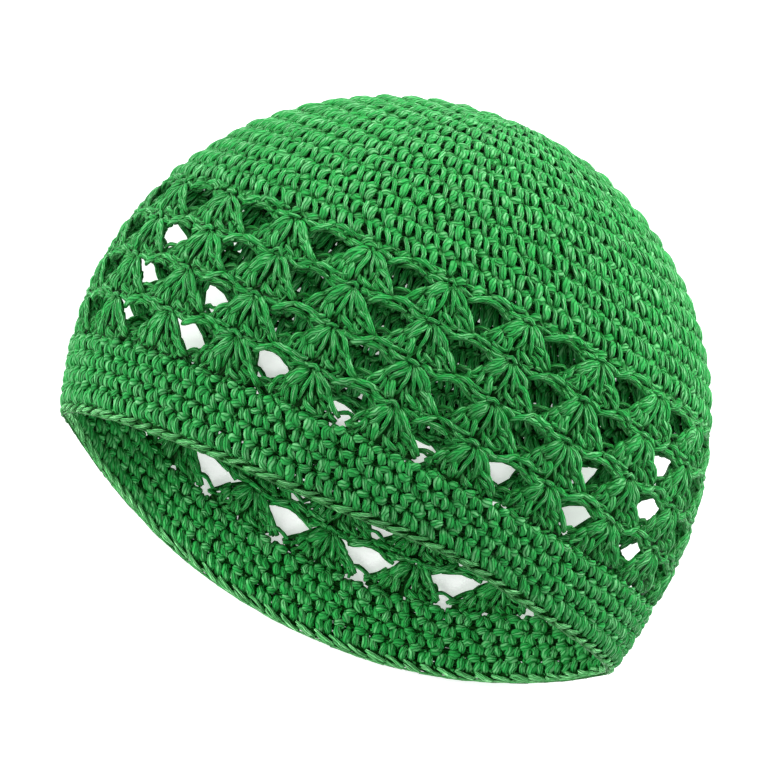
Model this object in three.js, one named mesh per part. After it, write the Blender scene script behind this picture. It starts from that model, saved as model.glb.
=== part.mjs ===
import * as THREE from "three";

// An openwork crocheted beanie lying on its side, as soft as a cotton cap is.
// Millimetres, +Z up from the surface it lies on. +Y runs from the head opening to the crown,
// +X across the cap. The lower wall is flat where it rests, the upper wall is domed.

// The cap's outline, seen from above and from the side
const HALF_WIDTH = 108.7;
const WIDEST_AT = 40;
const CROWN_AT = 150;
const CROWN_HEIGHT = 38;
const TOP_HEIGHT = 136;
const TOP_AT = 50;
const SIDE_HEIGHT = 44;
const SIDE_ROUNDNESS = 2.02;
const SWAY = 2;
const SWAY_POWER = 1.6;

// The rim, a ring that reaches further forward where it lies on the surface
const RIM_HALF_WIDTH = 101.6;
const RIM_SIDE_AT = -3.2;
const RIM_SIDE_HEIGHT = 40;
const RIM_TOP_AT = 7.6;
const RIM_TOP_HEIGHT = 131;
const RIM_BOTTOM_AT = -34.3;
const FRONT_ROUNDNESS = 2.1;
const RIM_SHIFT = 0.8;
const UNDER_SHIFT = 1.8;

// A soft wave that lifts the upper rim towards the crown, right of the middle
const WAVE_HEIGHT = 3;
const WAVE_AT = 36;
const WAVE_WIDTH = 28;

// The lower wall, which rolls under behind the crown and then lies flat
const ROLL_RUN = 46;
const ROLL_ROUNDNESS = 2.15;
const POLE_ROUNDNESS = 2;
const FLOOR_ROUNDNESS = 3;
const FLOOR_PRESS = 3;
const SIDE_TAPER = 1.6;

// The rounds of crochet, measured along the wall
const CROWN_RUN = 115;
const SHELL_RUN = 15.3;
const SHELL_ROUNDS = 4;
const RIM_RUN = 24.6;
const EDGE_RUN = 3.4;
const BELOW_CROWN = SHELL_RUN * SHELL_ROUNDS + RIM_RUN + EDGE_RUN;
const CAP_RUN = CROWN_RUN + BELOW_CROWN;

// The knit is drawn wide on the upper wall and bunches along the lower one
const TOP_REACH = 588;
const MOST_STRETCH = 0.09;
const LOWER_SHARE = 0.86;

// The shell pattern: how often it repeats, and the gap between two shells
const REPEATS = 20;
const COLUMNS_PER_REPEAT = 4;
const COLUMNS = REPEATS * COLUMNS_PER_REPEAT;
const PATTERN_SHIFT = 0.4 / 576;
const HOLE_ROWS = [
  { run: 0, left: 0.25, right: 0.75 },
  { run: 3.2, left: 0.26, right: 0.74 },
  { run: 7.4, left: 0.31, right: 0.69 },
  { run: 11.0, left: 0.4, right: 0.6 },
  { run: SHELL_RUN, left: 0.25, right: 0.75 },
];
const OPEN_ROWS = [1, 2];
const OPEN_COLUMNS = [1, 2];

// The fabric and the gap between neighbouring rounds
const WALL = 2.8;
const GAP = 0.35;
const CROWN_ROWS = 9;
const RIM_ROWS = 2;
const EDGE_SIDES = 6;

const ARC_STEPS = 600;
const RING_STEPS = 360;
const NORMAL_STEP = 0.4;
const QUARTER = Math.PI / 2;
const TURN = 2 * Math.PI;

// A meridian of the cap, read by the length along it
class Meridian extends THREE.Curve {
  constructor(behind, ahead, share) {
    super();
    this.behind = behind;
    this.ahead = ahead;
    this.share = share;
    this.arcLengthDivisions = ARC_STEPS;
  }

  getPoint(t) {
    return t < 0.5 ? this.behind(2 * t) : this.ahead(2 * t - 1);
  }

  // The length from a round to the rim: share is 1 where the knit keeps its height
  toRim(run) {
    const rounds = CAP_RUN - run;
    const edge = Math.min(rounds, EDGE_RUN + GAP);
    return edge + (rounds - edge) * this.share;
  }

  // The crown takes what is left of a meridian
  at(run) {
    const length = this.getLength();
    const crown = length - this.toRim(CROWN_RUN);
    const place = run < CROWN_RUN ? (crown * run) / CROWN_RUN : length - this.toRim(run);
    return this.getPointAt(THREE.MathUtils.clamp(place / length, 0, 1));
  }
}

function mix(a, b, share) {
  return a + (b - a) * share;
}

const topMeridian = new Meridian(
  (t) =>
    new THREE.Vector3(
      0,
      mix(TOP_AT, CROWN_AT, Math.cos(t * QUARTER)),
      mix(CROWN_HEIGHT, TOP_HEIGHT, Math.sin(t * QUARTER)),
    ),
  (t) => new THREE.Vector3(0, mix(TOP_AT, RIM_TOP_AT, t), mix(TOP_HEIGHT, RIM_TOP_HEIGHT, t * t)),
  1,
);

const sideMeridian = new Meridian(
  (t) =>
    new THREE.Vector3(
      HALF_WIDTH * Math.sin(t * QUARTER) ** (2 / SIDE_ROUNDNESS),
      mix(WIDEST_AT, CROWN_AT, Math.cos(t * QUARTER) ** (2 / SIDE_ROUNDNESS)),
      mix(CROWN_HEIGHT, SIDE_HEIGHT, Math.sin(t * QUARTER)),
    ),
  (t) =>
    new THREE.Vector3(
      mix(HALF_WIDTH, RIM_HALF_WIDTH, t ** SIDE_TAPER),
      mix(WIDEST_AT, RIM_SIDE_AT, t),
      mix(SIDE_HEIGHT, RIM_SIDE_HEIGHT, t * t),
    ),
  1,
);

const bottomMeridian = new Meridian(
  (t) =>
    new THREE.Vector3(
      0,
      CROWN_AT - ROLL_RUN * (1 - Math.cos(t * QUARTER) ** (2 / ROLL_ROUNDNESS)),
      CROWN_HEIGHT * (1 - Math.sin(t * QUARTER) ** (2 / ROLL_ROUNDNESS)),
    ),
  (t) => new THREE.Vector3(0, mix(CROWN_AT - ROLL_RUN, RIM_BOTTOM_AT, t), 0),
  LOWER_SHARE,
);

// One ring of the cap, through its top, side and bottom points
function ringPoint(top, side, bottom, angle) {
  const across = Math.cos(angle);
  const up = Math.sin(angle);
  if (up >= 0) {
    return new THREE.Vector3(
      side.x * across,
      mix(side.y, top.y, up),
      mix(side.z, top.z, up),
    );
  }
  const rolled = THREE.MathUtils.clamp(1 - bottom.z / CROWN_HEIGHT, 0, 1);
  const roundness = mix(POLE_ROUNDNESS, FLOOR_ROUNDNESS, rolled);
  const share = Math.abs(across) ** (2 / roundness);
  const drop = Math.abs(up) ** (2 / roundness);
  const depth = side.z - bottom.z + FLOOR_PRESS * rolled;
  return new THREE.Vector3(
    side.x * Math.sign(across) * share,
    mix(side.y, bottom.y, 1 - share ** FRONT_ROUNDNESS),
    Math.max(side.z - depth * drop, 0),
  );
}

// 0 above the rim's band, 1 at the rim
function nearRim(run) {
  return THREE.MathUtils.smoothstep(run, CAP_RUN - RIM_RUN - EDGE_RUN, CAP_RUN);
}

// How far a point lies to the right: the cap leans to the left between its crown and its rim,
// and the rim slides to the right, most of all where it lies on the surface
function slide(up, run) {
  const rim = RIM_SHIFT + UNDER_SHIFT * Math.max(-up, 0);
  return rim * nearRim(run) - SWAY * Math.sin(Math.PI * (run / CAP_RUN) ** SWAY_POWER);
}

// How far the wave lifts the rim at a point of the upper wall
function wave(x, up, run) {
  const place = (x - WAVE_AT) / WAVE_WIDTH;
  return WAVE_HEIGHT * nearRim(run) * Math.max(up, 0) * Math.exp(-place * place);
}

// A ring read by its own length: 0 is the middle of the upper wall, then right, under and left
class Ring {
  constructor(run) {
    const top = topMeridian.at(run);
    const side = sideMeridian.at(run);
    const bottom = bottomMeridian.at(run);
    this.points = [];
    for (let i = 0; i <= RING_STEPS; i += 1) {
      const angle = QUARTER - (i / RING_STEPS) * TURN;
      const point = ringPoint(top, side, bottom, angle);
      point.y += wave(point.x, Math.sin(angle), run);
      point.x += slide(Math.sin(angle), run);
      this.points.push(point);
    }
    this.lengths = [0];
    for (let i = 1; i <= RING_STEPS; i += 1) {
      this.lengths.push(this.lengths[i - 1] + this.points[i].distanceTo(this.points[i - 1]));
    }
    this.total = this.lengths[RING_STEPS];
    this.stretch = THREE.MathUtils.clamp(TOP_REACH / this.total - 1, 0, MOST_STRETCH);
  }

  at(around) {
    const spread = around + (this.stretch / TURN) * Math.sin(TURN * around);
    const target = (spread - Math.floor(spread)) * this.total;
    let low = 0;
    let high = RING_STEPS;
    while (high - low > 1) {
      const middle = (low + high) >> 1;
      if (this.lengths[middle] > target) high = middle;
      else low = middle;
    }
    const step = this.lengths[high] - this.lengths[low];
    const share = step > 0 ? (target - this.lengths[low]) / step : 0;
    return this.points[low].clone().lerp(this.points[high], share);
  }
}

const rings = new Map();

function ringAt(run) {
  if (!rings.has(run)) rings.set(run, new Ring(run));
  return rings.get(run);
}

// The outer surface, its outward direction and its direction towards the rim
function outerPoint(around, run) {
  return ringAt(run).at(around);
}

function frameAt(around, run) {
  if (run <= 0) {
    return { out: new THREE.Vector3(0, 1, 0), down: new THREE.Vector3(0, 0, -1) };
  }
  const total = ringAt(run).total;
  const aside = NORMAL_STEP / total;
  const back = Math.max(run - NORMAL_STEP, 0);
  const front = Math.min(run + NORMAL_STEP, CAP_RUN);
  const along = outerPoint(around + aside, run).sub(outerPoint(around - aside, run));
  const down = outerPoint(around, front).sub(outerPoint(around, back)).normalize();
  const out = new THREE.Vector3().crossVectors(down, along).normalize();
  return { out, down };
}

function depthPoint(around, run, depth) {
  return outerPoint(around, run).addScaledVector(frameAt(around, run).out, -depth);
}

// A closed body under construction: points, and faces that look outwards
class Body {
  constructor() {
    this.positions = [];
    this.faces = [];
  }

  add(point) {
    this.positions.push(point.x, point.y, point.z);
    return this.positions.length / 3 - 1;
  }

  triangle(a, b, c) {
    this.faces.push(a, b, c);
  }

  quad(a, b, c, d) {
    this.triangle(a, b, c);
    this.triangle(a, c, d);
  }

  geometry() {
    const geometry = new THREE.BufferGeometry();
    geometry.setAttribute("position", new THREE.Float32BufferAttribute(this.positions, 3));
    geometry.setIndex(this.faces);
    geometry.computeVertexNormals();
    return geometry;
  }
}

// A ring of fabric: rows of points on both faces, and a wall round every gap and end.
// rows holds { run, around(column) }, isOpen says which cells are gaps.
function fabricBody(rows, isOpen, closedAtPole) {
  const body = new Body();
  const layers = [0, WALL].map((depth) =>
    rows.map((row) => {
      const line = [];
      for (let column = 0; column < COLUMNS; column += 1) {
        line.push(body.add(depthPoint(row.around(column), row.run, depth)));
      }
      return line;
    }),
  );
  const [outer, inner] = layers;
  const solid = (row, column) => {
    if (row < 0) return closedAtPole;
    if (row >= rows.length - 1) return false;
    return !isOpen(row, (column + COLUMNS) % COLUMNS);
  };
  for (let row = 0; row < rows.length - 1; row += 1) {
    for (let column = 0; column < COLUMNS; column += 1) {
      if (!solid(row, column)) continue;
      const next = (column + 1) % COLUMNS;
      const corners = [[row, column], [row, next], [row + 1, next], [row + 1, column]];
      const [a, b, c, d] = corners.map(([i, j]) => outer[i][j]);
      const [e, f, g, h] = corners.map(([i, j]) => inner[i][j]);
      body.quad(a, d, c, b);
      body.quad(e, f, g, h);
      if (!solid(row - 1, column)) body.quad(a, b, f, e);
      if (!solid(row + 1, column)) body.quad(d, h, g, c);
      if (!solid(row, column - 1)) body.quad(a, e, h, d);
      if (!solid(row, column + 1)) body.quad(b, c, g, f);
    }
  }
  if (closedAtPole) {
    const outerPole = body.add(depthPoint(0, 0, 0));
    const innerPole = body.add(depthPoint(0, 0, WALL));
    for (let column = 0; column < COLUMNS; column += 1) {
      const next = (column + 1) % COLUMNS;
      body.triangle(outerPole, outer[0][column], outer[0][next]);
      body.triangle(innerPole, inner[0][next], inner[0][column]);
    }
  }
  return body.geometry();
}

function evenColumn(column) {
  return column / COLUMNS + PATTERN_SHIFT;
}

function evenRows(start, end, count) {
  const rows = [];
  for (let i = 0; i <= count; i += 1) {
    rows.push({ run: mix(start, end, i / count), around: evenColumn });
  }
  return rows;
}

const nothingOpen = () => false;

function crown() {
  const rows = evenRows(0, CROWN_RUN - GAP / 2, CROWN_ROWS).slice(1);
  return fabricBody(rows, nothingOpen, true);
}

// Columns 1, 2 and 3 of each repeat follow the gap's left side, middle and right side
function shellColumn(row, column) {
  const repeat = Math.floor(column / COLUMNS_PER_REPEAT);
  const shares = [0, row.left, 0.5, row.right];
  const share = shares[column % COLUMNS_PER_REPEAT];
  return (repeat + share) / REPEATS + PATTERN_SHIFT;
}

function shellRound(index) {
  const start = CROWN_RUN + index * SHELL_RUN;
  const rows = HOLE_ROWS.map((row, i) => {
    let run = start + row.run;
    if (i === 0) run += GAP / 2;
    if (i === HOLE_ROWS.length - 1) run -= GAP / 2;
    return { run, around: (column) => shellColumn(row, column) };
  });
  const isOpen = (row, column) =>
    OPEN_ROWS.includes(row) && OPEN_COLUMNS.includes(column % COLUMNS_PER_REPEAT);
  return fabricBody(rows, isOpen, false);
}

function rimBand() {
  const start = CROWN_RUN + SHELL_ROUNDS * SHELL_RUN + GAP / 2;
  const end = CAP_RUN - EDGE_RUN - GAP / 2;
  return fabricBody(evenRows(start, end, RIM_ROWS), nothingOpen, false);
}

// The edge is a cord-like round of slip stitches, six-sided, with one side on the surface
function edgeRound() {
  const body = new Body();
  const radius = (EDGE_RUN - GAP / 2) / 2;
  const centreRun = CAP_RUN - radius;
  const flat = radius * Math.cos(Math.PI / EDGE_SIDES);
  const sections = [];
  for (let column = 0; column < COLUMNS; column += 1) {
    const around = evenColumn(column);
    const { out, down } = frameAt(around, centreRun);
    const centre = outerPoint(around, centreRun).addScaledVector(out, -flat);
    const section = [];
    for (let side = 0; side < EDGE_SIDES; side += 1) {
      const angle = (side * TURN) / EDGE_SIDES;
      const corner = centre.clone();
      corner.addScaledVector(down, radius * Math.cos(angle));
      corner.addScaledVector(out, radius * Math.sin(angle));
      section.push(body.add(corner));
    }
    sections.push(section);
  }
  for (let column = 0; column < COLUMNS; column += 1) {
    const here = sections[column];
    const there = sections[(column + 1) % COLUMNS];
    for (let side = 0; side < EDGE_SIDES; side += 1) {
      const next = (side + 1) % EDGE_SIDES;
      body.quad(here[side], there[side], there[next], here[next]);
    }
  }
  return body.geometry();
}

function cotton(color) {
  return new THREE.MeshStandardMaterial({ color, roughness: 0.85, metalness: 0 });
}

const YARN_GREEN = 0x378a47;
const EDGE_GREEN = 0x4b9150;

const cap = new THREE.Group();

function addPiece(name, geometry, color) {
  const mesh = new THREE.Mesh(geometry, cotton(color));
  mesh.name = name;
  cap.add(mesh);
}

addPiece("crown", crown(), YARN_GREEN);
for (let index = 0; index < SHELL_ROUNDS; index += 1) {
  addPiece(`shell_round_${index + 1}`, shellRound(index), YARN_GREEN);
}
addPiece("rim_band", rimBand(), YARN_GREEN);
addPiece("edge_round", edgeRound(), EDGE_GREEN);

// The origin is on the surface, under the middle of the cap
const middle = new THREE.Box3().setFromObject(cap).getCenter(new THREE.Vector3());
cap.position.set(-middle.x, -middle.y, 0);

export default cap;
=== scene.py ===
import math

import bpy
import numpy as np
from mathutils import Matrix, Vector


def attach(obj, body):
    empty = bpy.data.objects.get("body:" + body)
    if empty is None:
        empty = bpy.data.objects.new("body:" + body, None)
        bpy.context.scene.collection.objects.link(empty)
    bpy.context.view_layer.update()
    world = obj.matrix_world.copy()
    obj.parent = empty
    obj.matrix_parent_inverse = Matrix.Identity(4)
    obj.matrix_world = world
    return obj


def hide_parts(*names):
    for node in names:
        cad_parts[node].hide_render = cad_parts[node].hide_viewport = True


# An openwork beanie crocheted in green cotton, lying on its side on a pale surface.
# Every stitch is made of strands of yarn that follow the cap's wall. Sizes are in millimetres
# until a mesh is made. Those of the surface, the lights and the camera are in metres.

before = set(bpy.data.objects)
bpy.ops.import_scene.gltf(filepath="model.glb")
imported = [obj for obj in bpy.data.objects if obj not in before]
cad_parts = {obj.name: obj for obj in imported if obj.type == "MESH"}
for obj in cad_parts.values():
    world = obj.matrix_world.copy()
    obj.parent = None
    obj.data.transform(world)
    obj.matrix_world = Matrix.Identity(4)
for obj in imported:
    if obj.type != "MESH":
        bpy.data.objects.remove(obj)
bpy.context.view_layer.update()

MM = 0.001

# The cap's wall: the same driving dimensions as the solids. A place round the cap is in turns,
# and a run is the length from the crown's centre along the wall
HALF_WIDTH = 108.7
WIDEST_AT = 40.0
CROWN_AT = 150.0
CROWN_HEIGHT = 38.0
TOP_HEIGHT = 136.0
TOP_AT = 50.0
SIDE_HEIGHT = 44.0
SIDE_ROUNDNESS = 2.02
SWAY = 2.0
SWAY_POWER = 1.6
RIM_HALF_WIDTH = 101.6
RIM_SIDE_AT = -3.2
RIM_SIDE_HEIGHT = 40.0
RIM_TOP_AT = 7.6
RIM_TOP_HEIGHT = 131.0
RIM_BOTTOM_AT = -34.3
FRONT_ROUNDNESS = 2.1
RIM_SHIFT = 0.8
UNDER_SHIFT = 1.8
WAVE_HEIGHT = 3.0
WAVE_AT = 36.0
WAVE_WIDTH = 28.0
ROLL_RUN = 46.0
ROLL_ROUNDNESS = 2.15
POLE_ROUNDNESS = 2.0
FLOOR_ROUNDNESS = 3.0
FLOOR_PRESS = 3.0
SIDE_TAPER = 1.6
CROWN_RUN = 115.0
SHELL_RUN = 15.3
SHELL_ROUNDS = 4
RIM_RUN = 24.6
EDGE_RUN = 3.4
BELOW_CROWN = SHELL_RUN * SHELL_ROUNDS + RIM_RUN + EDGE_RUN
CAP_RUN = CROWN_RUN + BELOW_CROWN
GAP = 0.35
TOP_REACH = 588.0
MOST_STRETCH = 0.09
LOWER_SHARE = 0.86
FABRIC = 4.2
TURN = 2 * math.pi

# The pattern of the openwork, which repeats round the cap. Its shift, 0.4 mm, is in turns
REPEATS = 20
REPEAT_WIDTH = 29.3
PATTERN_LENGTH = 576.0
PATTERN_SHIFT = 0.4 / PATTERN_LENGTH
APEX_BELOW_START = 3.0

# The stitches of the solid rounds. Those of a crown round are counted at a share of its
# height, and no yarn starts closer to the crown's centre than the first run
STITCH_WIDTH = 7.1
NARROW_STITCH = 5.0
CROWN_ROUNDS = 15
TALL_ROUNDS = 9
TALL_ROUND = 7.9
LOW_ROUND = 6.4
LAST_BARS = 0.3
CROWN_WEDGES = 5
WEDGE_START = 0.067
COUNTED_AT = 0.6
FIRST_RUN = 0.6
RIM_STITCHES = 86
RIM_REACH = 25.4
RIM_ROW = 5.3
RIM_ROWS = 3
LAST_ROW = 6.4
LEAN = 0.27
RIM_LEAN = 0.36

# How far under the wall's outer face the strands of either face lie
OUTER_DEPTH = 0.7

# How finely the wall is measured, along it and round it
MERIDIAN_STEPS = 1200
RUN_STEPS = 240
RING_STEPS = 720
AROUND_STEPS = 600


def mix(a, b, share):
    return a + (b - a) * share


def smooth_step(value, low, high):
    share = min(max((value - low) / (high - low), 0.0), 1.0)
    return share * share * (3 - 2 * share)


def top_meridian(t):
    behind = np.minimum(2 * t, 1.0) * math.pi / 2
    ahead = np.maximum(2 * t - 1, 0.0)
    y = mix(mix(TOP_AT, CROWN_AT, np.cos(behind)), RIM_TOP_AT, ahead)
    z = mix(mix(CROWN_HEIGHT, TOP_HEIGHT, np.sin(behind)), RIM_TOP_HEIGHT, ahead**2)
    return np.stack([np.zeros_like(t), y, z], axis=-1)


def side_meridian(t):
    behind = np.minimum(2 * t, 1.0) * math.pi / 2
    ahead = np.maximum(2 * t - 1, 0.0)
    power = 2 / SIDE_ROUNDNESS
    x = mix(HALF_WIDTH * np.sin(behind) ** power, RIM_HALF_WIDTH, ahead**SIDE_TAPER)
    y = mix(WIDEST_AT, CROWN_AT, np.maximum(np.cos(behind), 0.0) ** power)
    y = mix(y, RIM_SIDE_AT, ahead)
    z = mix(mix(CROWN_HEIGHT, SIDE_HEIGHT, np.sin(behind)), RIM_SIDE_HEIGHT, ahead**2)
    return np.stack([x, y, z], axis=-1)


def bottom_meridian(t):
    behind = np.minimum(2 * t, 1.0) * math.pi / 2
    ahead = np.maximum(2 * t - 1, 0.0)
    power = 2 / ROLL_ROUNDNESS
    rolled = 1 - np.maximum(np.cos(behind), 0.0) ** power
    y = mix(CROWN_AT - ROLL_RUN * rolled, RIM_BOTTOM_AT, ahead)
    z = CROWN_HEIGHT * (1 - np.sin(behind) ** power)
    return np.stack([np.zeros_like(t), y, z], axis=-1)


def lengths_along(points):
    steps = np.linalg.norm(np.diff(points, axis=0), axis=1)
    return np.concatenate([[0.0], np.cumsum(steps)])


def read_by_length(points, lengths, wanted):
    return np.stack([np.interp(wanted, lengths, points[:, k]) for k in range(3)], axis=-1)


def to_rim(runs, share):
    """The length from a round to the rim: share is 1 where the knit keeps its height."""
    rounds = CAP_RUN - runs
    edge = np.minimum(rounds, EDGE_RUN + GAP)
    return edge + (rounds - edge) * share


def meridian_points(meridian, runs, share):
    """Points of a meridian. The crown takes what the rounds below leave of it."""
    points = meridian(np.linspace(0.0, 1.0, MERIDIAN_STEPS + 1))
    lengths = lengths_along(points)
    total = lengths[-1]
    crown = (total - to_rim(CROWN_RUN, share)) * runs / CROWN_RUN
    wanted = np.where(runs < CROWN_RUN, crown, total - to_rim(runs, share))
    return read_by_length(points, lengths, wanted)


def ring_points(top, side, bottom, run):
    """One ring of the wall, from the middle of the upper wall to the right and round."""
    angle = TURN / 4 - np.linspace(0.0, TURN, RING_STEPS + 1)
    across, up = np.cos(angle), np.sin(angle)
    upper_y, upper_z = mix(side[1], top[1], up), mix(side[2], top[2], up)
    upper = np.stack([side[0] * across, upper_y, upper_z], axis=-1)
    rolled = np.clip(1 - bottom[2] / CROWN_HEIGHT, 0.0, 1.0)
    roundness = mix(POLE_ROUNDNESS, FLOOR_ROUNDNESS, rolled)
    share = np.abs(across) ** (2 / roundness)
    drop = np.abs(up) ** (2 / roundness)
    depth = side[2] - bottom[2] + FLOOR_PRESS * rolled
    x = side[0] * np.sign(across) * share
    y = mix(side[1], bottom[1], 1 - share**FRONT_ROUNDNESS)
    lower = np.stack([x, y, np.maximum(side[2] - depth * drop, 0.0)], axis=-1)
    points = np.where(up[:, None] >= 0, upper, lower)
    place = (points[:, 0] - WAVE_AT) / WAVE_WIDTH
    near_rim = smooth_step(run, CAP_RUN - RIM_RUN - EDGE_RUN, CAP_RUN)
    points[:, 1] += WAVE_HEIGHT * near_rim * np.maximum(up, 0.0) * np.exp(-place * place)
    points[:, 0] += near_rim * (RIM_SHIFT + UNDER_SHIFT * np.maximum(-up, 0.0))
    points[:, 0] -= SWAY * math.sin(math.pi * (run / CAP_RUN) ** SWAY_POWER)
    return points


class Wall:
    """The wall's outer face, read by the place round a ring and the run along a meridian."""

    def __init__(self):
        self.runs = np.linspace(0.0, CAP_RUN, RUN_STEPS + 1)
        top = meridian_points(top_meridian, self.runs, 1.0)
        side = meridian_points(side_meridian, self.runs, 1.0)
        bottom = meridian_points(bottom_meridian, self.runs, LOWER_SHARE)
        rings, totals = [], []
        for row in range(RUN_STEPS + 1):
            points = ring_points(top[row], side[row], bottom[row], self.runs[row])
            lengths = lengths_along(points)
            total = lengths[-1]
            stretch = MOST_STRETCH
            if total > 0:
                stretch = min(max(TOP_REACH / total - 1, 0.0), MOST_STRETCH)
            around = np.linspace(0.0, 1.0, AROUND_STEPS + 1)[:-1]
            spread = around + stretch / TURN * np.sin(TURN * around)
            rings.append(read_by_length(points, lengths, spread * total))
            totals.append(total * (1 + stretch))
        self.points = np.array(rings)
        self.centre()
        self.top_lengths = np.array(totals)
        self.outward = self.directions()

    def centre(self):
        """Puts the middle of the cap's width and depth over the origin."""
        low, high = self.points.min(axis=(0, 1)), self.points.max(axis=(0, 1))
        self.points[..., :2] -= (low + high)[:2] / 2

    def directions(self):
        """The outward direction at each point. At the crown's centre it is straight back."""
        along = np.roll(self.points, -1, axis=1) - np.roll(self.points, 1, axis=1)
        down = np.gradient(self.points, axis=0)
        out = np.cross(down, along)
        out[0] = (0.0, 1.0, 0.0)
        return out / np.linalg.norm(out, axis=2, keepdims=True)

    def top_length(self, run):
        """A ring's length, if all of it were as stretched as the upper wall."""
        return np.interp(run, self.runs, self.top_lengths)

    def place(self, around, run, depth):
        """Points depth under the outer face, and the outward direction there."""
        row = np.clip(run / CAP_RUN * RUN_STEPS, 0, RUN_STEPS - 1e-6)
        column = (around % 1.0) * AROUND_STEPS
        i, j = row.astype(int), column.astype(int) % AROUND_STEPS
        di, dj = (row - i)[..., None], (column - np.floor(column))[..., None]
        k = (j + 1) % AROUND_STEPS

        def between(grid):
            low = mix(grid[i, j], grid[i, k], dj)
            high = mix(grid[i + 1, j], grid[i + 1, k], dj)
            return mix(low, high, di)

        out = between(self.outward)
        out /= np.linalg.norm(out, axis=-1, keepdims=True)
        return between(self.points) - out * depth[..., None], out


wall = Wall()

# Strands: how many steps and sides a tube of yarn has. Those of the inner face have fewer
OUTER_TUBE = {"steps": 6, "sides": 6}
INNER_TUBE = {"steps": 5, "sides": 5}
LEAF_TUBE = {"steps": 7, "sides": 6}
CORE_TUBE = {"steps": 3, "sides": 4}
# How fast a strand swells from its ends: a lower power is faster
SWELL_POWER = 0.6
# The length of strand that one unit of its UV map covers
UV_LENGTH = 10.0
# The depths between which a strand is painted darker, as painted shade, and the runs between
# which the inner face is painted lighter, as painted light
PAINTED_SHADE_FROM = 0.8
PAINTED_SHADE_FULL_AT = 2.2
PAINTED_LIGHT_FROM = 140.0
PAINTED_LIGHT_FULL_BY = 165.0

# Hand work: how far strands stray from their place. A drift moves a whole strand, a wobble
# each of its knots. SIZE_WOBBLE is a share of a strand's size, those of STITCH and EDGE_SWAY
# are in stitches and rows, and the others are in millimetres
SEED = 11
SIZE_WOBBLE = 0.08
STITCH_DRIFT = 0.04
STITCH_WOBBLE = 0.026
DEPTH_DRIFT = 0.12
CORE_WOBBLE = 0.15
EDGE_SWAY_DRIFT = 0.05
EDGE_SWAY_WOBBLE = 0.05
EDGE_RUN_DRIFT = 0.15
EDGE_RUN_WOBBLE = 0.2
THREAD_WOBBLE = 0.08
LEAF_SWAY_DRIFT = 0.2
LEAF_RUN_DRIFT = 0.15
LEAF_WOBBLE = 0.32

chance = np.random.default_rng(SEED)


def wobble(shape, size):
    return chance.normal(0.0, size, shape)


def smooth_path(knots, count):
    """A curve through the knots, for many strands at once: (strands, knots, 3) in and out."""
    knots = np.asarray(knots, float)
    first = 2 * knots[:, :1] - knots[:, 1:2]
    last = 2 * knots[:, -1:] - knots[:, -2:-1]
    padded = np.concatenate([first, knots, last], axis=1)
    spans = knots.shape[1] - 1
    t = np.linspace(0.0, spans, count)
    i = np.minimum(t.astype(int), spans - 1)
    f = (t - i)[None, :, None]
    a, b, c, d = (padded[:, i + k] for k in range(4))
    curve = 2 * b + (c - a) * f + (2 * a - 5 * b + 4 * c - d) * f**2
    return 0.5 * (curve + (3 * b - a - 3 * c + d) * f**3)


def directions_across(centre, out):
    """Unit vectors to the side of a strand and out of the fabric, for each of its points."""
    forward = np.gradient(centre, axis=1)
    forward /= np.linalg.norm(forward, axis=-1, keepdims=True)
    aside = np.cross(forward, out)
    aside /= np.maximum(np.linalg.norm(aside, axis=-1, keepdims=True), 1e-6)
    return aside, np.cross(aside, forward)


def section(strands, half, tube, ends):
    """How far a tube's corners lie aside and out. It is thickest in the middle of a strand."""
    share = np.linspace(0.0, 1.0, tube["steps"])
    taper = mix(ends[0], ends[1], share)
    swell = taper + (1 - taper) * np.sin(math.pi * share) ** SWELL_POWER
    size = (1 + wobble((strands, 1), SIZE_WOBBLE)) * swell[None, :]
    angle = np.arange(tube["sides"]) / tube["sides"] * TURN - TURN / 4
    width, thickness = half
    wide = (width * size)[:, :, None, None] * np.cos(angle)[None, None, :, None]
    deep = (thickness * size)[:, :, None, None] * np.sin(angle)[None, None, :, None]
    return wide, deep


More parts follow.
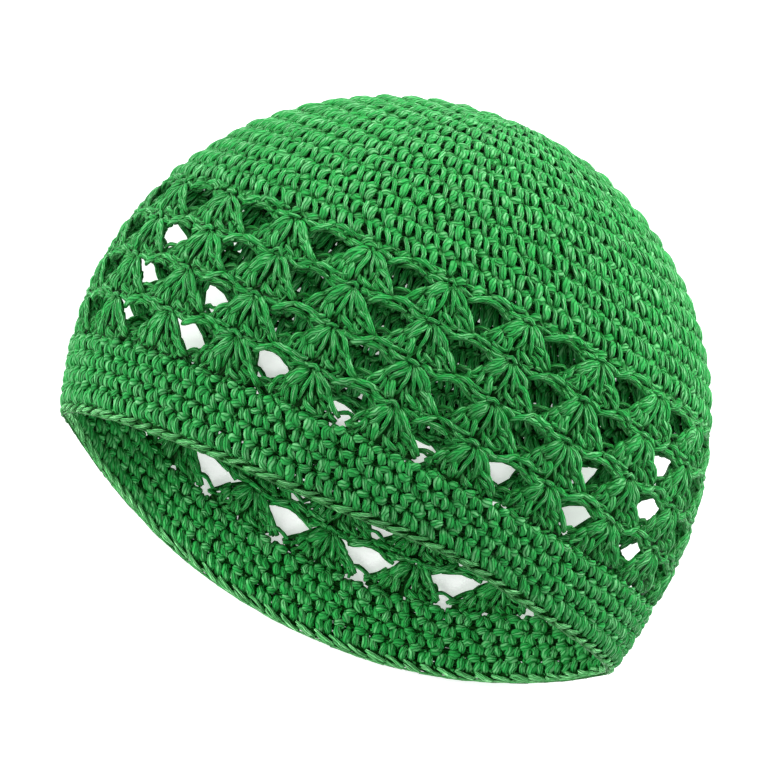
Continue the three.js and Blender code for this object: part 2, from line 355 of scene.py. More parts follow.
class Yarn:
    """Strands gathered into one mesh."""

    def __init__(self):
        self.corners, self.uvs, self.loops, self.starts = [], [], [], []
        self.tints, self.buried, self.painted_inner_light = [], [], []
        self.count = 0
        self.loop_count = 0

    def add(self, around, run, depth, half, tube, ends, hidden=0.0):
        """around, run and depth are (strands, knots), or one for all; half is half the width and
        the thickness, ends how much of them is left at a strand's two ends, and the last argument is
        the least painted shade it has."""
        knots = np.stack(np.broadcast_arrays(around, run, depth), axis=-1)
        path = smooth_path(knots, tube["steps"])
        around, run, depth = path[..., 0], path[..., 1], path[..., 2]
        centre, out = wall.place(around, run, depth)
        aside, above = directions_across(centre, out)
        strands = len(centre)
        wide, deep = section(strands, half, tube, ends)
        corners = centre[:, :, None, :] + aside[:, :, None, :] * wide + above[:, :, None, :] * deep
        self.corners.append(corners.reshape(-1, 3))
        self.tints.append(np.repeat(chance.random(strands), tube["steps"] * tube["sides"]))
        self.shade(depth[:, :, None] - deep[..., 0], run, hidden)
        steps_length = np.linalg.norm(np.diff(centre, axis=1), axis=-1)
        along = np.concatenate([np.zeros((strands, 1)), np.cumsum(steps_length, axis=1)], axis=1)
        self.faces(strands, tube, along / UV_LENGTH)
        self.count += corners[..., 0].size

    def shade(self, under, run, hidden):
        """Notes how deep each corner lies between the two faces, for painted shade, and which are
        inside the cap near the rim, for painted light.
        """
        buried = (np.minimum(under, FABRIC - under) - PAINTED_SHADE_FROM) / (PAINTED_SHADE_FULL_AT - PAINTED_SHADE_FROM)
        self.buried.append(np.clip(buried, hidden, 1.0).ravel())
        near_rim = np.clip((run - PAINTED_LIGHT_FROM) / (PAINTED_LIGHT_FULL_BY - PAINTED_LIGHT_FROM), 0.0, 1.0)
        self.painted_inner_light.append(((under > FABRIC / 2) * near_rim[:, :, None]).ravel())

    def faces(self, strands, tube, along):
        """The quads round each strand, and a polygon that closes either end."""
        steps, sides = tube["steps"], tube["sides"]
        starts = self.count + np.arange(strands) * steps * sides
        base = starts[:, None, None, None]
        ring = (np.arange(steps - 1) * sides)[None, :, None, None]
        here = np.arange(sides)[None, None, :, None]
        nextdoor = (here + 1) % sides
        below = base + ring + sides
        quads = np.concatenate(
            [base + ring + here, base + ring + nextdoor, below + nextdoor, below + here], axis=-1)
        u0 = np.broadcast_to(here / sides, quads.shape[:3] + (1,))
        u1 = u0 + 1 / sides
        v0 = np.broadcast_to(along[:, :-1, None, None], quads.shape[:3] + (1,))
        v1 = np.broadcast_to(along[:, 1:, None, None], quads.shape[:3] + (1,))
        u, v = np.concatenate([u0, u1, u1, u0], -1), np.concatenate([v0, v0, v1, v1], -1)
        self.put(quads.reshape(-1, 4), np.stack([u, v], -1).reshape(-1, 2))
        rim = np.arange(sides)[None, :]
        first = starts[:, None] + rim[:, ::-1]
        last = starts[:, None] + (steps - 1) * sides + rim
        for end, v in ((first, along[:, :1]), (last, along[:, -1:])):
            uv = np.stack([np.full(end.shape, 0.5), np.broadcast_to(v, end.shape)], -1)
            self.put(end, uv.reshape(-1, 2))

    def put(self, polygons, uv):
        sides = polygons.shape[1]
        self.starts.append(self.loop_count + np.arange(len(polygons)) * sides)
        self.loops.append(polygons.ravel())
        self.uvs.append(uv)
        self.loop_count += polygons.size

    def mesh(self, name):
        mesh = bpy.data.meshes.new(name)
        corners = np.concatenate(self.corners) * MM
        loops = np.concatenate(self.loops).astype(np.int32)
        starts = np.concatenate(self.starts).astype(np.int32)
        mesh.vertices.add(len(corners))
        mesh.vertices.foreach_set("co", corners.astype(np.float32).ravel())
        mesh.loops.add(len(loops))
        mesh.loops.foreach_set("vertex_index", loops)
        mesh.polygons.add(len(starts))
        mesh.polygons.foreach_set("loop_start", starts)
        mesh.update(calc_edges=True)
        uv = mesh.uv_layers.new(name="strand")
        uv.data.foreach_set("uv", np.concatenate(self.uvs).astype(np.float32).ravel())
        for kind, values in (("tint", self.tints), ("buried", self.buried), ("painted_inner_light", self.painted_inner_light)):
            made = mesh.attributes.new(kind, "FLOAT", "POINT")
            made.data.foreach_set("value", np.concatenate(values).astype(np.float32))
        mesh.polygons.foreach_set("use_smooth", np.ones(len(starts), bool))
        mesh.update()
        return mesh


def knots_of(table):
    """Columns of a strand's table: across, along and depth."""
    rows = np.asarray(table, float)
    return rows[:, 0], rows[:, 1], rows[:, 2]


# A single crochet stitch, from the hole at its top left: two legs side by side, the right one
# slanted, and the bar that lies right of the hole, over the feet of the round above. Its knots
# say across, in stitches, along towards the rim, in rows, and depth, in millimetres
CROWN_STITCH = [
    {"half": (1.5, 0.95), "ends": (0.9, 0.3), "knots": [
        (-0.14, 0.05, 1.9), (-0.19, 0.26, 0.8), (-0.15, 0.50, 0.5),
        (-0.08, 0.76, 0.6), (-0.01, 1.02, 1.3)]},
    {"half": (0.95, 0.8), "ends": (0.7, 0.75), "knots": [
        (0.08, -0.02, 1.7), (0.21, 0.22, 0.8), (0.34, 0.48, 0.5),
        (0.46, 0.74, 0.6), (0.57, 1.0, 1.3)]},
    {"half": (1.7, 0.7), "ends": (0.6, 0.6), "knots": [
        (0.24, 0.26, 1.9), (0.38, 0.14, 1.2), (0.53, 0.02, 1.0),
        (0.67, -0.10, 1.2), (0.80, -0.20, 1.9)]},
]
RIM_STITCH = [
    {"half": (1.5, 0.95), "ends": (0.65, 0.65), "knots": [
        (-0.25, 0.11, 1.9), (-0.23, 0.29, 0.9), (-0.20, 0.51, 0.5),
        (-0.14, 0.72, 0.65), (-0.08, 0.93, 1.5)]},
    {"half": (1.35, 0.9), "ends": (0.5, 0.65), "knots": [
        (0.02, 0.11, 1.9), (0.12, 0.29, 0.9), (0.22, 0.50, 0.5),
        (0.31, 0.70, 0.65), (0.41, 0.90, 1.5)]},
    {"half": (1.5, 0.9), "ends": (0.6, 0.6), "knots": [
        (0.20, 0.26, 1.7), (0.33, 0.18, 0.75), (0.46, 0.10, 0.5),
        (0.59, 0.03, 0.75), (0.73, -0.05, 1.7)]},
]
LONG_STITCH = [
    {"half": (1.5, 0.9), "ends": (0.4, 0.9), "knots": [
        (-0.13, 0.12, 2.0), (-0.08, 0.32, 0.9), (-0.02, 0.55, 0.5),
        (0.04, 0.80, 0.6), (0.12, 1.02, 1.5)]},
    {"half": (1.4, 0.85), "ends": (0.4, 0.85), "knots": [
        (0.20, 0.14, 2.0), (0.30, 0.33, 0.9), (0.41, 0.55, 0.55),
        (0.53, 0.78, 0.65), (0.66, 1.0, 1.6)]},
    {"half": (1.5, 0.95), "ends": (0.7, 0.7), "knots": [
        (0.26, 0.22, 1.7), (0.38, 0.14, 0.75), (0.51, 0.07, 0.5),
        (0.63, 0.01, 0.75), (0.76, -0.06, 1.7)]},
]
# The yarn that runs on inside a round, painted fully dark as shade: along in rows, the rest in
# millimetres
CORE = [
    {"along": 0.45, "half": 1.25},
    {"along": 0.95, "half": 1.15},
]
CORE_THICKNESS = 0.4
CORE_DEPTH = 2.3
CORE_KNOTS = (0.0, 0.5, 1.05)
EVEN_ENDS = (1.0, 1.0)


def strayed(knots, count, drift, each):
    """The same knots for count strands, each strand moved by drift and each knot by each."""
    return knots[None, :] + wobble((count, 1), drift) + wobble((count, len(knots)), each)


def solid_round(yarn, stitch, start, height, count, offset, inside):
    """One face of a round of single crochet. offset is in turns of the cap."""
    index = np.arange(count)[:, None]
    tube = INNER_TUBE if inside else OUTER_TUBE
    for strand in stitch:
        across, along, depth = knots_of(strand["knots"])
        sway = strayed(across, count, STITCH_DRIFT, STITCH_WOBBLE)
        run = start + height * strayed(along, count, STITCH_DRIFT, STITCH_WOBBLE)
        under = OUTER_DEPTH + depth[None, :] + wobble((count, 1), DEPTH_DRIFT)
        if inside:
            sway = -sway
            under = FABRIC - under
        place = (index + sway) / count + offset
        yarn.add(place, np.maximum(run, FIRST_RUN), under, strand["half"], tube, strand["ends"])


def core_ring(yarn, run, half_width, count, offset):
    """Yarn that runs on round the cap in the middle of the fabric, painted fully dark as shade."""
    place = (np.arange(count)[:, None] + np.array(CORE_KNOTS)) / count + offset
    along = run + wobble(place.shape, CORE_WOBBLE)
    half = (half_width, CORE_THICKNESS)
    yarn.add(place, along, CORE_DEPTH, half, CORE_TUBE, EVEN_ENDS, hidden=1.0)


def core(yarn, start, height, count, offset):
    """The middle of a round, which closes the fabric behind its stitches and is painted fully dark as
    shade.
    """
    for strand in CORE:
        core_ring(yarn, start + height * strand["along"], strand["half"], count, offset)


def crown_starts():
    """Where each round of the crown starts. The rounds by the openwork are the lowest."""
    numbers = np.arange(1, CROWN_ROUNDS + 1)
    heights = np.interp(numbers, (TALL_ROUNDS, CROWN_ROUNDS), (TALL_ROUND, LOW_ROUND))
    starts = np.concatenate([[0.0], np.cumsum(heights)])
    return starts * CROWN_RUN / starts[-1]


def crown_rounds(first, last):
    """Rounds of the crown. It grows in wedges, as stitches are added at the same places."""
    yarn = Yarn()
    starts = crown_starts()
    offset = WEDGE_START
    inner_offset = WEDGE_START
    for number in range(1, CROWN_ROUNDS + 1):
        start = starts[number - 1]
        height = starts[number] - start
        middle = start + COUNTED_AT * height
        width = mix(NARROW_STITCH, STITCH_WIDTH, middle / CROWN_RUN)
        count = max(1, round(wall.top_length(middle) / width / CROWN_WEDGES)) * CROWN_WEDGES
        offset -= LEAN / count
        inner_offset += LEAN / count
        if first <= number <= last:
            solid_round(yarn, CROWN_STITCH, start, height, count, offset, False)
            solid_round(yarn, CROWN_STITCH, start, height, count, inner_offset, True)
            core(yarn, start, height, count, offset)
    if last == CROWN_ROUNDS:
        bar, start = CROWN_STITCH[-1:], CROWN_RUN + LAST_BARS
        solid_round(yarn, bar, start, LOW_ROUND, count, offset, False)
        solid_round(yarn, bar, start, LOW_ROUND, count, inner_offset, True)
    return yarn


def rim_rounds():
    """The rounds of the rim band. The last has longer legs."""
    yarn = Yarn()
    shift = 0.0
    start = CAP_RUN - RIM_REACH
    rows = [(RIM_STITCH, RIM_ROW)] * RIM_ROWS + [(LONG_STITCH, LAST_ROW)]
    for stitch, height in rows:
        shift += RIM_LEAN / RIM_STITCHES
        solid_round(yarn, stitch, start, height, RIM_STITCHES, PATTERN_SHIFT - shift, False)
        solid_round(yarn, stitch, start, height, RIM_STITCHES, PATTERN_SHIFT + shift, True)
        core(yarn, start, height, RIM_STITCHES, PATTERN_SHIFT)
        start += height
    return yarn


# The edge: slip stitches that lie along it, and a thin thread on either face. Each strand has
# half its width, then its knots: across, in stitches, and along and depth, in millimetres
EDGE_STRANDS = [
    (0.7, (-0.12, 1.0, 1.5), (0.22, 0.5, 0.8), (0.72, -0.5, 0.6), (1.10, -1.2, 1.4)),
    (0.55, (0.02, 0.9, 1.4), (0.30, 1.1, 1.0), (0.72, 0.5, 1.2), (1.02, -0.2, 1.7)),
    (0.4, (0.22, 0.5, 1.3), (0.42, 1.0, 0.9), (0.68, 1.6, 1.3)),
    (0.7, (-0.12, 1.0, 2.1), (0.22, 0.5, 2.8), (0.72, -0.5, 3.0), (1.10, -1.2, 2.2)),
    (0.55, (0.02, 0.9, 2.2), (0.30, 1.1, 2.6), (0.72, 0.5, 2.6), (1.02, -0.2, 2.1)),
]
EDGE_ENDS = (0.6, 0.75)
EDGE_STITCHES = 88
EDGE_CORE_AT = -0.5
EDGE_CORE_HALF = 1.3
THREAD_HALF = 0.42
THREAD_AT = 1.5
THREAD_DEPTHS = (1.2, 2.2)
THREAD_KNOTS = (-0.04, 0.5, 1.04)


def edge_stitches():
    """The edge round: the same slip stitch all round, its core and its threads."""
    yarn = Yarn()
    middle = CAP_RUN - EDGE_RUN / 2
    index = np.arange(EDGE_STITCHES)[:, None]
    for half, *knots in EDGE_STRANDS:
        across, along, depth = knots_of(knots)
        sway = strayed(across, EDGE_STITCHES, EDGE_SWAY_DRIFT, EDGE_SWAY_WOBBLE)
        place = (index + sway) / EDGE_STITCHES + PATTERN_SHIFT
        run = middle + strayed(along, EDGE_STITCHES, EDGE_RUN_DRIFT, EDGE_RUN_WOBBLE)
        yarn.add(place, run, depth[None, :] + OUTER_DEPTH, (half, half), OUTER_TUBE, EDGE_ENDS)
    core_ring(yarn, middle + EDGE_CORE_AT, EDGE_CORE_HALF, EDGE_STITCHES, PATTERN_SHIFT)
    for depth in THREAD_DEPTHS:
        place = (index + np.array(THREAD_KNOTS)) / EDGE_STITCHES
        run = middle + THREAD_AT + wobble(place.shape, THREAD_WOBBLE)
        half = (THREAD_HALF, THREAD_HALF)
        yarn.add(place, run, depth + OUTER_DEPTH, half, CORE_TUBE, EVEN_ENDS)
    return yarn


# A shell of six posts that fan out from one place, its apex. Each leaf of yarn has half its
# width, then its knots in millimetres from the apex: across, along towards the rim, and depth
APEX_KNOT = [
    (0.9, (-2.2, -0.2, 2.1), (0.0, -1.0, 1.9), (2.2, -0.4, 2.1)),
]
# The middle of a shell, painted fully dark as shade, which closes it behind its leaves: half the
# width, then across and along
SHELL_CORE = [
    (1.5, (-0.6, 1.4), (-3.7, 5.2), (-7.8, 9.2)),
    (1.8, (-0.3, 1.5), (-3.0, 7.0), (-5.6, 12.8)),
    (1.8, (0.0, 1.5), (0.4, 7.0), (-0.6, 14.0)),
    (1.8, (0.8, 1.5), (3.6, 6.8), (5.4, 12.8)),
    (1.5, (1.0, 1.4), (4.7, 5.4), (9.6, 9.8)),
    (1.5, (-10.2, 10.4), (-7.0, 13.4), (-2.0, 14.4)),
    (1.5, (2.0, 13.4), (7.0, 13.6), (12.4, 12.4)),
]
FAN = [
    (0.9, (-0.8, 0.0, 1.9), (-3.1, 1.3, 1.1), (-5.5, 3.7, 1.1), (-8.0, 6.8, 1.8)),
    (1.2, (-1.0, 0.4, 1.7), (-2.9, 2.6, 0.8), (-5.0, 5.1, 0.8), (-7.2, 8.2, 1.7)),
    (1.1, (-0.7, 0.8, 1.6), (-2.1, 3.9, 0.7), (-3.8, 6.6, 0.8), (-5.4, 9.4, 1.7)),
    (0.85, (-0.2, 0.5, 1.5), (0.3, 3.7, 0.5), (-0.1, 7.2, 0.5), (-1.0, 12.6, 1.6)),
    (0.85, (0.0, 1.6, 1.9), (-1.6, 4.6, 1.2), (-2.4, 7.4, 1.3), (-2.6, 10.0, 1.9)),
    (0.75, (0.5, 0.4, 1.5), (2.0, 3.4, 0.5), (3.4, 6.8, 0.5), (5.0, 11.8, 1.6)),
    (1.1, (1.0, 0.5, 1.7), (3.1, 3.3, 0.9), (4.8, 5.5, 0.9), (6.8, 7.4, 1.7)),
    (1.05, (1.1, 0.0, 1.8), (3.8, 1.6, 0.8), (6.7, 4.2, 0.7), (9.2, 7.9, 1.6)),
]
LOWER_LEAVES = [
    (1.0, (-7.6, 5.8, 1.8), (-9.4, 8.0, 1.0), (-11.0, 11.0, 1.8)),
    (0.8, (-6.9, 6.4, 1.7), (-8.0, 9.4, 0.8), (-9.4, 12.8, 1.7)),
    (0.9, (-6.9, 7.2, 1.7), (-6.3, 9.9, 0.8), (-6.8, 13.0, 1.7)),
    (0.8, (-10.2, 9.0, 1.9), (-11.0, 11.2, 1.1), (-10.6, 13.8, 1.9)),
    (1.2, (-3.6, 7.2, 1.7), (-3.0, 9.9, 0.7), (-2.1, 13.4, 1.7)),
    (0.9, (-5.0, 8.4, 1.7), (-4.5, 11.4, 0.9), (-3.8, 14.2, 1.8)),
    (0.55, (0.6, 6.8, 1.7), (2.1, 9.6, 0.8), (3.6, 12.2, 1.7)),
    (1.0, (1.2, 10.4, 1.8), (3.6, 12.0, 0.7), (6.8, 13.4, 1.7)),
    (0.6, (0.6, 9.4, 1.7), (1.0, 12.0, 0.9), (2.8, 14.8, 1.8)),
    (0.9, (4.4, 6.4, 1.7), (7.1, 7.4, 0.7), (10.4, 8.8, 1.6)),
    (0.75, (5.6, 8.6, 1.8), (8.4, 10.0, 0.9), (11.4, 11.2, 1.7)),
    (0.95, (5.4, 10.0, 1.9), (7.6, 12.0, 1.1), (9.6, 14.2, 1.9)),
    (1.0, (7.4, 5.2, 1.8), (10.4, 8.6, 0.6), (14.0, 12.0, 1.6)),
    (0.95, (9.4, 9.8, 1.9), (11.2, 11.5, 1.0), (13.4, 12.7, 1.9)),
    (0.95, (-9.2, 13.4, 1.8), (-6.6, 14.9, 1.0), (-3.4, 14.8, 1.8)),
]
# The chain that joins two shells level with their apexes
RIDGE = [
    (1.05, (1.6, -0.6, 2.1), (4.8, -0.2, 1.2), (8.2, 1.6, 2.0)),
    (1.15, (6.6, 2.6, 2.0), (10.6, 0.0, 0.6), (14.9, -2.9, 1.8)),
    (1.05, (13.2, -2.2, 1.9), (18.2, -2.4, 0.7), (23.2, -1.2, 1.8)),
    (1.0, (20.6, -0.6, 2.1), (24.2, 0.2, 1.0), (27.8, 0.0, 2.0)),
    (0.95, (10.2, 0.9, 2.1), (15.4, -0.4, 1.1), (21.0, -0.2, 2.1)),
    (0.9, (18.6, 0.0, 2.4), (22.4, 0.6, 1.6), (26.4, 0.3, 2.4)),
    (0.95, (3.4, -2.4, 2.3), (6.4, -2.2, 1.4), (9.8, -2.6, 2.3)),
]
RIDGE_CORE_AT = -1.3
RIDGE_CORE_HALF = 1.2
# The single chain that hangs between two shells under each gap
THIN_CHAIN = [
    (0.7, (12.4, 10.9, 2.0), (14.2, 9.5, 1.5), (16.3, 8.8, 1.4), (18.4, 9.1, 1.5), (20.2, 10.2, 2.0)),
    (0.6, (12.6, 11.1, 2.7), (14.3, 9.9, 2.4), (16.3, 9.2, 2.3), (18.3, 9.5, 2.4), (20.0, 10.4, 2.7)),
]
YARN_FLATNESS = 0.8
FAN_ENDS = (0.45, 0.6)
LEAF_ENDS = (0.6, 0.7)
INNER_NARROWING = 0.9


def shell_leaves(yarn, apex, table, inside, ends):
    """One face of the same leaves in all shells of a round."""
    index = np.arange(REPEATS)[:, None]
    tube = INNER_TUBE if inside else LEAF_TUBE
    for half_width, *knots in table:
        across, along, depth = knots_of(knots)
        sway = strayed(across, REPEATS, LEAF_SWAY_DRIFT, LEAF_WOBBLE)
        under = OUTER_DEPTH + depth[None, :] + wobble((REPEATS, 1), DEPTH_DRIFT)
        if inside:
            sway = -sway * INNER_NARROWING
            under = FABRIC - under
        place = (index + sway / REPEAT_WIDTH) / REPEATS + PATTERN_SHIFT
        run = apex + strayed(along, REPEATS, LEAF_RUN_DRIFT, LEAF_WOBBLE)
        yarn.add(place, run, under, (half_width, half_width * YARN_FLATNESS), tube, ends)


def shell_core(yarn, apex):
    """The middle of a round's shells, and of the chain above them, painted fully dark as shade."""
    core_ring(yarn, apex + RIDGE_CORE_AT, RIDGE_CORE_HALF, 3 * REPEATS, PATTERN_SHIFT)
    index = np.arange(REPEATS)[:, None]
    for half_width, *knots in SHELL_CORE:
        across, along = np.asarray(knots, float).T
        place = (index + across[None, :] / REPEAT_WIDTH) / REPEATS + PATTERN_SHIFT
        half = (half_width, CORE_THICKNESS)
        yarn.add(place, apex + along, FABRIC / 2, half, CORE_TUBE, EVEN_ENDS, hidden=1.0)


def shell_round(number):
    """One openwork round: 20 shells, and the chains between them, all on their columns."""
    yarn = Yarn()
    apex = CROWN_RUN + number * SHELL_RUN + APEX_BELOW_START
    shell_core(yarn, apex)
    for inside in (False, True):
        shell_leaves(yarn, apex, LOWER_LEAVES + RIDGE + APEX_KNOT, inside, LEAF_ENDS)
        shell_leaves(yarn, apex, FAN, inside, FAN_ENDS)
    shell_leaves(yarn, apex, THIN_CHAIN, False, LEAF_ENDS)
    return yarn


# Materials

# Painted shade: how much of its colour the yarn keeps, from the fabric's face to its middle
PAINTED_SHADE_BY_DEPTH = [
    (0.0, (1.0, 1.0, 1.0)),
    (0.35, (0.72, 0.84, 0.72)),
    (0.8, (0.2, 0.42, 0.22)),
    (1.0, (0.01, 0.1, 0.015)),
]
# Painted light: towards the rim the inner face is painted lighter, standing in for the light its
# inside lacks
PAINTED_INNER_LIFT = 0.5
# The darkest strand's share of its colour, and how much more the lightest has
DARKEST = 0.87
TINT_RANGE = 0.26
# The plies wind round a strand and wander a little. The grooves between them are painted dark, as
# painted shade
PLIES = 7
TWIST = 1.0
WANDER = 3.0
WANDER_SCALE = 0.9
WANDER_ALONG = 3.0
WANDER_ROUND = 1.5
WANDER_STRAND = 190.0
GROOVE_UNTIL = 0.1
BODY_FROM = 0.6
GROOVE_DEPTH = 0.00025
# Painted highlights: streaks of light painted along a ply, and each ply has its own
STREAK_PLY = 5.17
STREAK_ALONG = 3.0
STREAK_STRAND = 370.0
STREAK_FROM = 0.45
STREAK_GAIN = 4.5
STREAK_POWER = 2.0
# Yarn colours for the cap and its edge: painted shade in the grooves, the yarn's own green, and a
# painted highlight
PAINTED_GROOVE_SHADE = (0.003, 0.11, 0.016)
YARN_GREEN = (0.020, 0.275, 0.053)
PAINTED_HIGHLIGHT_GREEN = (0.145, 0.42, 0.175)
EDGE_PAINTED_GROOVE_SHADE = (0.012, 0.14, 0.026)
EDGE_GREEN = (0.09, 0.40, 0.12)
EDGE_PAINTED_HIGHLIGHT = (0.28, 0.70, 0.31)
SHEEN_GREEN = (0.14, 0.6, 0.25, 1.0)


def maths(tree, operation, *values):
    made = tree.nodes.new("ShaderNodeMath")
    made.operation = operation
    for socket, value in zip(made.inputs, values):
        if isinstance(value, (int, float)):
            socket.default_value = value
        else:
            tree.links.new(value, socket)
    return made.outputs[0]


def noise(tree, scale, *places):
    """Soft noise at a place of three values, each with its own scale."""
    place = tree.nodes.new("ShaderNodeCombineXYZ")
    for socket, (value, factor) in zip(place.inputs, places):
        tree.links.new(maths(tree, "MULTIPLY", value, factor), socket)
    made = tree.nodes.new("ShaderNodeTexNoise")
    made.inputs["Scale"].default_value = scale
    made.inputs["Detail"].default_value = 1.0
    made.inputs["Roughness"].default_value = 0.5
    tree.links.new(place.outputs[0], made.inputs["Vector"])
    return made.outputs["Fac"]


def ramp(tree, value, stops):
    made = tree.nodes.new("ShaderNodeValToRGB")
    elements = made.color_ramp.elements
    while len(elements) < len(stops):
        elements.new(0.5)
    for element, (place, colour) in zip(elements, stops):
        element.position = place
        element.color = (*colour, 1.0)
    tree.links.new(value, made.inputs["Fac"])
    return made.outputs["Color"]


def grey_of(tree, level):
    made = tree.nodes.new("ShaderNodeCombineColor")
    for socket in made.inputs[:3]:
        tree.links.new(level, socket)
    return made.outputs[0]


def blended(tree, kind, colour, other, share):
    made = tree.nodes.new("ShaderNodeMix")
    made.data_type = "RGBA"
    made.blend_type = kind
    for socket, value in ((made.inputs[0], share), (made.inputs[6], colour), (made.inputs[7], other)):
        if isinstance(value, (int, float, tuple)):
            socket.default_value = value
        else:
            tree.links.new(value, socket)
    return made.outputs[2]


def attribute(tree, name):
    """A value that each mesh of yarn holds at its corners."""
    made = tree.nodes.new("ShaderNodeAttribute")
    made.attribute_name = name
    return made.outputs["Fac"]


def plies(tree, round_it, along_it, strand):
    """The number of the ply at a place of the yarn, and how high the ply is there: 0 to 1."""
    phase = maths(tree, "MULTIPLY", round_it, PLIES)
    phase = maths(tree, "ADD", phase, maths(tree, "MULTIPLY", along_it, TWIST))
    places = (along_it, WANDER_ALONG), (round_it, WANDER_ROUND), (strand, WANDER_STRAND)
    wander = noise(tree, WANDER_SCALE, *places)
    phase = maths(tree, "ADD", phase, maths(tree, "MULTIPLY", wander, WANDER))
    across = maths(tree, "FRACT", phase)
    rise = maths(tree, "MULTIPLY", across, maths(tree, "SUBTRACT", 1.0, across))
    return maths(tree, "FLOOR", phase), maths(tree, "MULTIPLY", rise, 4.0)


def painted_streaks(tree, ply, rise, along_it, strand):
    """How strong a painted highlight streak is at a place of the yarn."""
    places = (ply, STREAK_PLY), (along_it, STREAK_ALONG), (strand, STREAK_STRAND)
    streak = maths(tree, "SUBTRACT", noise(tree, 1.0, *places), STREAK_FROM)
    lit = maths(tree, "MULTIPLY", streak, STREAK_GAIN)
    lit = maths(tree, "MINIMUM", maths(tree, "MAXIMUM", lit, 0.0), 1.0)
    return maths(tree, "MULTIPLY", lit, maths(tree, "POWER", rise, STREAK_POWER))


def yarn_material(name, deep, body, painted_highlight):
    """Cotton yarn of several fine plies. Its painted groove shade, painted streak highlights and
    sheen run along each strand. Painted shade by depth and painted light inside the cap near the rim
    are laid over them.
    """
    material = bpy.data.materials.new(name)
    material.use_nodes = True
    tree = material.node_tree
    shader = tree.nodes["Principled BSDF"]
    uv = tree.nodes.new("ShaderNodeUVMap")
    uv.uv_map = "strand"
    parts = tree.nodes.new("ShaderNodeSeparateXYZ")
    tree.links.new(uv.outputs[0], parts.inputs[0])
    round_it, along_it = parts.outputs[0], parts.outputs[1]
    strand = attribute(tree, "tint")

    ply, rise = plies(tree, round_it, along_it, strand)
    # Painted shade: the grooves between the plies take the deep colour
    stops = [(0.0, deep), (GROOVE_UNTIL, deep), (BODY_FROM, body), (1.0, body)]
    colour = ramp(tree, rise, stops)
    # Painted highlights: light streaks mixed into the colour
    lit = painted_streaks(tree, ply, rise, along_it, strand)
    colour = blended(tree, "MIX", colour, (*painted_highlight, 1.0), lit)
    # Painted shade: the colour darkens with the depth of each corner in the fabric
    shade = ramp(tree, attribute(tree, "buried"), PAINTED_SHADE_BY_DEPTH)
    colour = blended(tree, "MULTIPLY", colour, shade, 1.0)
    level = maths(tree, "MULTIPLY_ADD", strand, TINT_RANGE, DARKEST)
    # Painted light: the inner face near the rim is painted lighter
    painted_lift = maths(tree, "MULTIPLY", attribute(tree, "painted_inner_light"), PAINTED_INNER_LIFT)
    level = grey_of(tree, maths(tree, "ADD", level, painted_lift))
    colour = blended(tree, "MULTIPLY", colour, level, 1.0)
    tree.links.new(colour, shader.inputs["Base Color"])

    bump = tree.nodes.new("ShaderNodeBump")
    bump.inputs["Strength"].default_value = 1.0
    bump.inputs["Distance"].default_value = GROOVE_DEPTH
    tree.links.new(rise, bump.inputs["Height"])
    tree.links.new(bump.outputs[0], shader.inputs["Normal"])
    shader.inputs["Roughness"].default_value = 0.5
    shader.inputs["Specular IOR Level"].default_value = 0.08
    shader.inputs["Sheen Weight"].default_value = 0.03
    shader.inputs["Sheen Roughness"].default_value = 0.5
    shader.inputs["Sheen Tint"].default_value = SHEEN_GREEN
    return material


cotton = yarn_material("cotton_yarn", PAINTED_GROOVE_SHADE, YARN_GREEN, PAINTED_HIGHLIGHT_GREEN)
edge_cotton = yarn_material("edge_yarn", EDGE_PAINTED_GROOVE_SHADE, EDGE_GREEN, EDGE_PAINTED_HIGHLIGHT)

# The pieces of the cap

# The crown is three pieces, each with its first and its last round
CROWN_PIECES = [
    {"name": "crown_middle_stitches", "first": 1, "last": 9},
    {"name": "crown_outer_stitches", "first": 10, "last": 12},
    {"name": "crown_lower_stitches", "first": 13, "last": CROWN_ROUNDS},
]


def piece(name, yarn, node_name, material):
    made = bpy.data.objects.new(name, yarn.mesh(name))
    bpy.context.collection.objects.link(made)
    made.data.materials.append(material)
    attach(made, "root")
    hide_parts(node_name)


for part in CROWN_PIECES:
    rounds = crown_rounds(part["first"], part["last"])
    piece(part["name"], rounds, "crown", cotton)
for number in range(SHELL_ROUNDS):
    node_name = f"shell_round_{number + 1}"
    piece(f"shells_{number + 1}", shell_round(number), node_name, cotton)
piece("rim_stitches", rim_rounds(), "rim_band", cotton)
piece("edge_stitches", edge_stitches(), "edge_round", edge_cotton)

# The surface, light and camera

FLOOR_SIZE = 14.0
FLOOR_COLOUR = (0.92, 0.92, 0.93, 1.0)
FLOOR_GLOW = 0.5
WHITE = (1.0, 1.0, 1.0, 1.0)


def floor():
    """A wide pale surface. Its glow keeps it as white as the photo's."""
    bpy.ops.mesh.primitive_plane_add(size=FLOOR_SIZE, location=(0, 0, 0))
    plane = bpy.context.object
    plane.name = "pale_surface"
    material = bpy.data.materials.new("pale_surface")
    material.use_nodes = True
    shader = material.node_tree.nodes["Principled BSDF"]
    shader.inputs["Base Color"].default_value = FLOOR_COLOUR
    shader.inputs["Roughness"].default_value = 0.9
    shader.inputs["Emission Color"].default_value = WHITE
    shader.inputs["Emission Strength"].default_value = FLOOR_GLOW
    plane.data.materials.append(material)


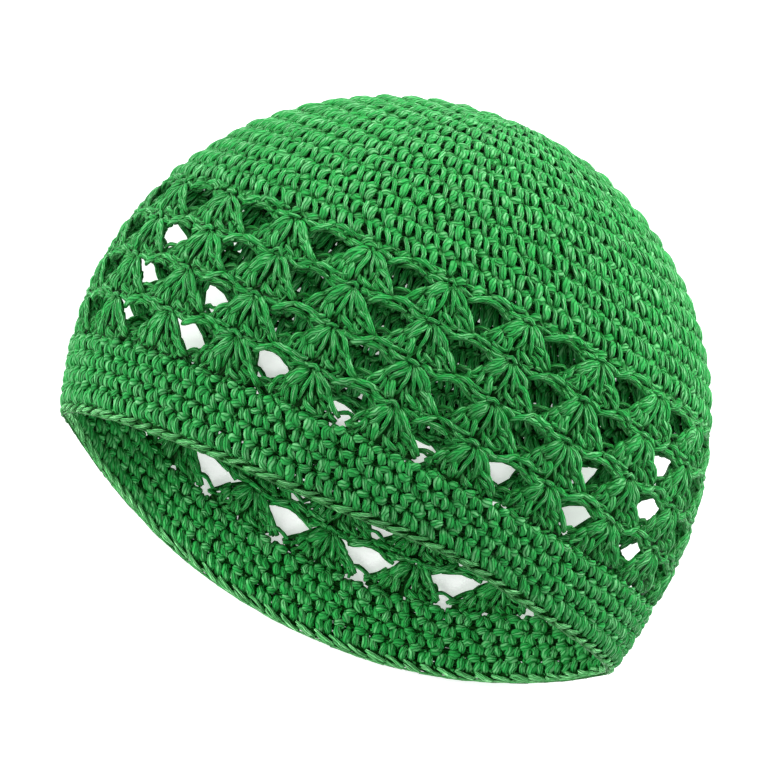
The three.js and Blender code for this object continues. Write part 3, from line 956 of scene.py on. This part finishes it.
# The lights, all aimed at one place inside the cap
AIM = (0.0, 0.0, 0.05)
WORLD_STRENGTH = 0.365
LIGHTS = [
    {"name": "overhead_light", "place": (0.5, 0.6, 1.9), "size": 1.2, "power": 0.8},
    {"name": "crown_light", "place": (0.38, 0.85, 0.36), "size": 0.5, "power": 15.5},
    {"name": "left_light", "place": (-1.5, 0.0, 0.5), "size": 0.9, "power": 33.0},
    {"name": "opening_light", "place": (-0.1, -1.6, 0.5), "size": 1.0, "power": 5.5},
    {"name": "corner_light", "place": (0.9, -1.0, 1.0), "size": 0.8, "power": 8.0},
]


def soft_light(name, place, size, power):
    data = bpy.data.lights.new(name, "AREA")
    data.shape = "DISK"
    data.size = size
    data.energy = power
    lamp = bpy.data.objects.new(name, data)
    bpy.context.collection.objects.link(lamp)
    lamp.location = place
    lamp.visible_camera = False
    direction = Vector(AIM) - Vector(place)
    lamp.rotation_euler = direction.to_track_quat("-Z", "Y").to_euler()


def world_light(strength):
    world = bpy.data.worlds.new("studio")
    world.use_nodes = True
    background = world.node_tree.nodes["Background"]
    background.inputs["Color"].default_value = WHITE
    background.inputs["Strength"].default_value = strength
    bpy.context.scene.world = world


CAMERA_DISTANCE = 8.0
VIEW_WIDTH = 0.254
VIEW_CENTRE = (-0.0056, -0.0055)
REFERENCE_HEIGHT = 0.045
ROLL = 25.3
SENSOR = 36.0


def camera():
    """Looks straight down, turned so that the crown is to the upper right."""
    data = bpy.data.cameras.new("camera")
    data.sensor_width = SENSOR
    data.lens = SENSOR * (CAMERA_DISTANCE - REFERENCE_HEIGHT) / VIEW_WIDTH
    eye = bpy.data.objects.new("camera", data)
    bpy.context.collection.objects.link(eye)
    eye.location = (*VIEW_CENTRE, CAMERA_DISTANCE)
    eye.rotation_euler = (0.0, 0.0, math.radians(ROLL))
    bpy.context.scene.camera = eye


floor()
world_light(WORLD_STRENGTH)
for light in LIGHTS:
    soft_light(light["name"], light["place"], light["size"], light["power"])
camera()
bpy.context.scene.view_settings.view_transform = "Standard"
